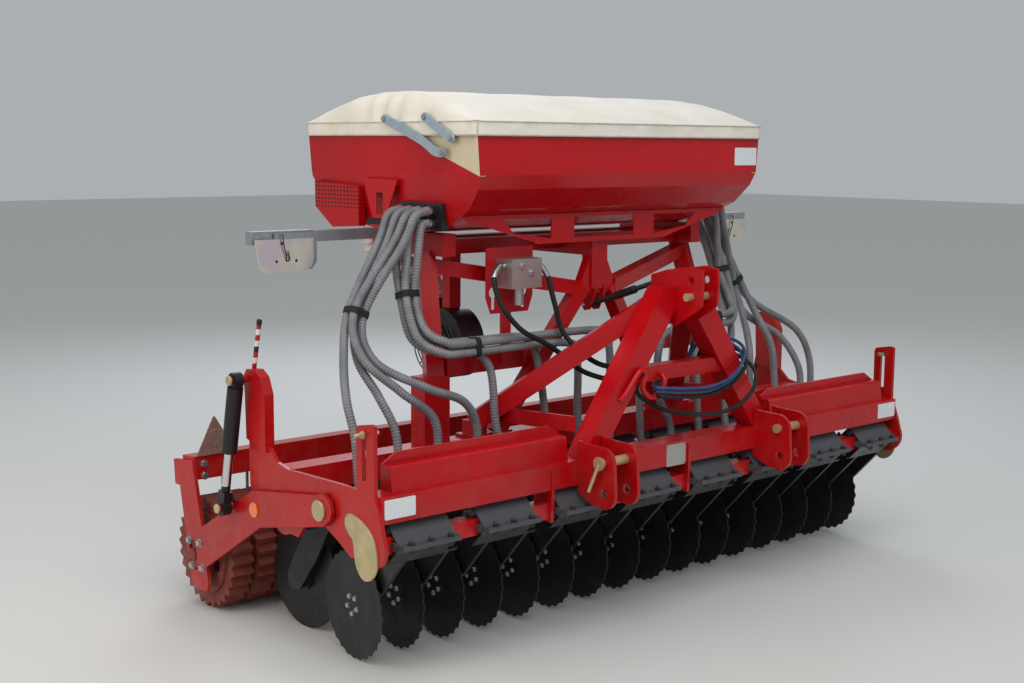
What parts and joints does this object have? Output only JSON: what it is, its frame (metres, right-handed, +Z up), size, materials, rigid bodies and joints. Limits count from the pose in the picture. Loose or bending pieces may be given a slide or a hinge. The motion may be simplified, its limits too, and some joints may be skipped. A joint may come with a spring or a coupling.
{
  "type": "mounted seed drill",
  "caption": "Mounted disc seed drill with end plates, two rows of toed discs on torsion clamps, a lifting ring roller, and a canvas-covered tank whose air feed leads hoses to the boots.",
  "frame": {"origin": "on the ground under the middle of the machine's length and width", "axes": "+X across the machine, to the right when the tractor is seen from behind the drill; +Y backwards from the hitch to the roller; +Z up"},
  "size_m": [3.184, 1.6878, 2.096],
  "materials": {
    "red_paint": "gloss",
    "dark_red_paint": "matte",
    "black_paint": "satin",
    "zinc_yellow": "satin",
    "galvanised": "satin",
    "canvas": "matte",
    "hose_grey": "matte",
    "duct_white": "matte",
    "rubber_black": "matte",
    "fan_black": "satin"
  },
  "bodies": {
    "chassis": {"front_beam": "red_paint", "rear_beam": "red_paint", "end_plates": "red_paint", "headstock": "red_paint", "hitch_ears": "red_paint", "hitch_pins": "zinc_yellow", "front_tool_bar": "red_paint", "rear_tool_bar": "red_paint", "front_coulter_arms": "black_paint", "rear_coulter_arms": "black_paint", "seed_boots": "black_paint", "hopper": "red_paint", "hopper_cover": "canvas", "hopper_tray": "red_paint", "hopper_stand": "red_paint", "metering_heads": "red_paint", "fan": "fan_black", "air_duct": "duct_white", "seed_hoses": "hose_grey", "hydraulic_valve": "galvanised", "hydraulic_hoses": "rubber_black", "marker_boards": "galvanised", "cover_links": "galvanised"},
    "roller_arms": {"roller_frame": "red_paint"},
    "roller": {"roller": "dark_red_paint"},
    "barrel_left": {"cylinder_barrel_left": "black_paint"},
    "rod_left": {"cylinder_rod_left": "galvanised"},
    "barrel_right": {"cylinder_barrel_right": "black_paint"},
    "rod_right": {"cylinder_rod_right": "galvanised"},
    "disc_front_01": {"front_disc_01": "black_paint"},
    "disc_front_02": {"front_disc_02": "black_paint"},
    "disc_front_03": {"front_disc_03": "black_paint"},
    "disc_front_04": {"front_disc_04": "black_paint"},
    "disc_front_05": {"front_disc_05": "black_paint"},
    "disc_front_06": {"front_disc_06": "black_paint"},
    "disc_front_07": {"front_disc_07": "black_paint"},
    "disc_front_08": {"front_disc_08": "black_paint"},
    "disc_front_09": {"front_disc_09": "black_paint"},
    "disc_front_10": {"front_disc_10": "black_paint"},
    "disc_front_11": {"front_disc_11": "black_paint"},
    "disc_front_12": {"front_disc_12": "black_paint"},
    "disc_front_13": {"front_disc_13": "black_paint"},
    "disc_front_14": {"front_disc_14": "black_paint"},
    "disc_front_15": {"front_disc_15": "black_paint"},
    "disc_front_16": {"front_disc_16": "black_paint"},
    "disc_rear_01": {"rear_disc_01": "black_paint"},
    "disc_rear_02": {"rear_disc_02": "black_paint"},
    "disc_rear_03": {"rear_disc_03": "black_paint"},
    "disc_rear_04": {"rear_disc_04": "black_paint"},
    "disc_rear_05": {"rear_disc_05": "black_paint"},
    "disc_rear_06": {"rear_disc_06": "black_paint"},
    "disc_rear_07": {"rear_disc_07": "black_paint"},
    "disc_rear_08": {"rear_disc_08": "black_paint"},
    "disc_rear_09": {"rear_disc_09": "black_paint"},
    "disc_rear_10": {"rear_disc_10": "black_paint"},
    "disc_rear_11": {"rear_disc_11": "black_paint"},
    "disc_rear_12": {"rear_disc_12": "black_paint"},
    "disc_rear_13": {"rear_disc_13": "black_paint"},
    "disc_rear_14": {"rear_disc_14": "black_paint"},
    "disc_rear_15": {"rear_disc_15": "black_paint"}
  },
  "joints": [
    {"name": "roller_arm_pivot", "type": "hinge", "parent": "chassis", "child": "roller_arms", "pos_m": [0, -0.32187, 0.602], "axis": [1, 0, 0], "range_deg": [-4, 14]},
    {"name": "roller_spin", "type": "hinge", "parent": "roller_arms", "child": "roller", "pos_m": [0, 0.61387, 0.23], "axis": [1, 0, 0], "continuous": true},
    {"name": "barrel_turn_left", "type": "hinge", "parent": "chassis", "child": "barrel_left", "pos_m": [-1.558, 0.17713, 1.005], "axis": [1, 0, 0], "range_deg": [-3, 8]},
    {"name": "rod_slide_left", "type": "slide", "parent": "barrel_left", "child": "rod_left", "axis": [0, 0.2132, -0.977], "range_m": [-0.15, 0.045]},
    {"name": "barrel_turn_right", "type": "hinge", "parent": "chassis", "child": "barrel_right", "pos_m": [1.558, 0.17713, 1.005], "axis": [1, 0, 0], "range_deg": [-3, 8]},
    {"name": "rod_slide_right", "type": "slide", "parent": "barrel_right", "child": "rod_right", "axis": [0, 0.2132, -0.977], "range_m": [-0.15, 0.045]},
    {"name": "front_disc_spin_01", "type": "hinge", "parent": "chassis", "child": "disc_front_01", "pos_m": [-1.3395, -0.25987, 0.205], "axis": [0.9976, -0.0698, 0], "continuous": true},
    {"name": "front_disc_spin_02", "type": "hinge", "parent": "chassis", "child": "disc_front_02", "pos_m": [-1.152, -0.25987, 0.205], "axis": [0.9976, -0.0698, 0], "continuous": true},
    {"name": "front_disc_spin_03", "type": "hinge", "parent": "chassis", "child": "disc_front_03", "pos_m": [-0.9645, -0.25987, 0.205], "axis": [0.9976, -0.0698, 0], "continuous": true},
    {"name": "front_disc_spin_04", "type": "hinge", "parent": "chassis", "child": "disc_front_04", "pos_m": [-0.777, -0.25987, 0.205], "axis": [0.9976, -0.0698, 0], "continuous": true},
    {"name": "front_disc_spin_05", "type": "hinge", "parent": "chassis", "child": "disc_front_05", "pos_m": [-0.5895, -0.25987, 0.205], "axis": [0.9976, -0.0698, 0], "continuous": true},
    {"name": "front_disc_spin_06", "type": "hinge", "parent": "chassis", "child": "disc_front_06", "pos_m": [-0.402, -0.25987, 0.205], "axis": [0.9976, -0.0698, 0], "continuous": true},
    {"name": "front_disc_spin_07", "type": "hinge", "parent": "chassis", "child": "disc_front_07", "pos_m": [-0.2145, -0.25987, 0.205], "axis": [0.9976, -0.0698, 0], "continuous": true},
    {"name": "front_disc_spin_08", "type": "hinge", "parent": "chassis", "child": "disc_front_08", "pos_m": [-0.027, -0.25987, 0.205], "axis": [0.9976, -0.0698, 0], "continuous": true},
    {"name": "front_disc_spin_09", "type": "hinge", "parent": "chassis", "child": "disc_front_09", "pos_m": [0.1605, -0.25987, 0.205], "axis": [0.9976, -0.0698, 0], "continuous": true},
    {"name": "front_disc_spin_10", "type": "hinge", "parent": "chassis", "child": "disc_front_10", "pos_m": [0.348, -0.25987, 0.205], "axis": [0.9976, -0.0698, 0], "continuous": true},
    {"name": "front_disc_spin_11", "type": "hinge", "parent": "chassis", "child": "disc_front_11", "pos_m": [0.5355, -0.25987, 0.205], "axis": [0.9976, -0.0698, 0], "continuous": true},
    {"name": "front_disc_spin_12", "type": "hinge", "parent": "chassis", "child": "disc_front_12", "pos_m": [0.723, -0.25987, 0.205], "axis": [0.9976, -0.0698, 0], "continuous": true},
    {"name": "front_disc_spin_13", "type": "hinge", "parent": "chassis", "child": "disc_front_13", "pos_m": [0.9105, -0.25987, 0.205], "axis": [0.9976, -0.0698, 0], "continuous": true},
    {"name": "front_disc_spin_14", "type": "hinge", "parent": "chassis", "child": "disc_front_14", "pos_m": [1.098, -0.25987, 0.205], "axis": [0.9976, -0.0698, 0], "continuous": true},
    {"name": "front_disc_spin_15", "type": "hinge", "parent": "chassis", "child": "disc_front_15", "pos_m": [1.2855, -0.25987, 0.205], "axis": [0.9976, -0.0698, 0], "continuous": true},
    {"name": "front_disc_spin_16", "type": "hinge", "parent": "chassis", "child": "disc_front_16", "pos_m": [1.473, -0.25987, 0.205], "axis": [0.9976, -0.0698, 0], "continuous": true},
    {"name": "rear_disc_spin_01", "type": "hinge", "parent": "chassis", "child": "disc_rear_01", "pos_m": [-1.2855, 0.14413, 0.205], "axis": [0.9976, 0.0698, 0], "continuous": true},
    {"name": "rear_disc_spin_02", "type": "hinge", "parent": "chassis", "child": "disc_rear_02", "pos_m": [-1.098, 0.14413, 0.205], "axis": [0.9976, 0.0698, 0], "continuous": true},
    {"name": "rear_disc_spin_03", "type": "hinge", "parent": "chassis", "child": "disc_rear_03", "pos_m": [-0.9105, 0.14413, 0.205], "axis": [0.9976, 0.0698, 0], "continuous": true},
    {"name": "rear_disc_spin_04", "type": "hinge", "parent": "chassis", "child": "disc_rear_04", "pos_m": [-0.723, 0.14413, 0.205], "axis": [0.9976, 0.0698, 0], "continuous": true},
    {"name": "rear_disc_spin_05", "type": "hinge", "parent": "chassis", "child": "disc_rear_05", "pos_m": [-0.5355, 0.14413, 0.205], "axis": [0.9976, 0.0698, 0], "continuous": true},
    {"name": "rear_disc_spin_06", "type": "hinge", "parent": "chassis", "child": "disc_rear_06", "pos_m": [-0.348, 0.14413, 0.205], "axis": [0.9976, 0.0698, 0], "continuous": true},
    {"name": "rear_disc_spin_07", "type": "hinge", "parent": "chassis", "child": "disc_rear_07", "pos_m": [-0.1605, 0.14413, 0.205], "axis": [0.9976, 0.0698, 0], "continuous": true},
    {"name": "rear_disc_spin_08", "type": "hinge", "parent": "chassis", "child": "disc_rear_08", "pos_m": [0.027, 0.14413, 0.205], "axis": [0.9976, 0.0698, 0], "continuous": true},
    {"name": "rear_disc_spin_09", "type": "hinge", "parent": "chassis", "child": "disc_rear_09", "pos_m": [0.2145, 0.14413, 0.205], "axis": [0.9976, 0.0698, 0], "continuous": true},
    {"name": "rear_disc_spin_10", "type": "hinge", "parent": "chassis", "child": "disc_rear_10", "pos_m": [0.402, 0.14413, 0.205], "axis": [0.9976, 0.0698, 0], "continuous": true},
    {"name": "rear_disc_spin_11", "type": "hinge", "parent": "chassis", "child": "disc_rear_11", "pos_m": [0.5895, 0.14413, 0.205], "axis": [0.9976, 0.0698, 0], "continuous": true},
    {"name": "rear_disc_spin_12", "type": "hinge", "parent": "chassis", "child": "disc_rear_12", "pos_m": [0.777, 0.14413, 0.205], "axis": [0.9976, 0.0698, 0], "continuous": true},
    {"name": "rear_disc_spin_13", "type": "hinge", "parent": "chassis", "child": "disc_rear_13", "pos_m": [0.9645, 0.14413, 0.205], "axis": [0.9976, 0.0698, 0], "continuous": true},
    {"name": "rear_disc_spin_14", "type": "hinge", "parent": "chassis", "child": "disc_rear_14", "pos_m": [1.152, 0.14413, 0.205], "axis": [0.9976, 0.0698, 0], "continuous": true},
    {"name": "rear_disc_spin_15", "type": "hinge", "parent": "chassis", "child": "disc_rear_15", "pos_m": [1.3395, 0.14413, 0.205], "axis": [0.9976, 0.0698, 0], "continuous": true}
  ],
  "couplings": [
    {"joint": "barrel_turn_left", "follows": "roller_arm_pivot", "ratio": 0.43466},
    {"joint": "rod_slide_left", "follows": "roller_arm_pivot", "m_per_rad": -0.58351},
    {"joint": "barrel_turn_right", "follows": "roller_arm_pivot", "ratio": 0.43466},
    {"joint": "rod_slide_right", "follows": "roller_arm_pivot", "m_per_rad": -0.58351}
  ]
}
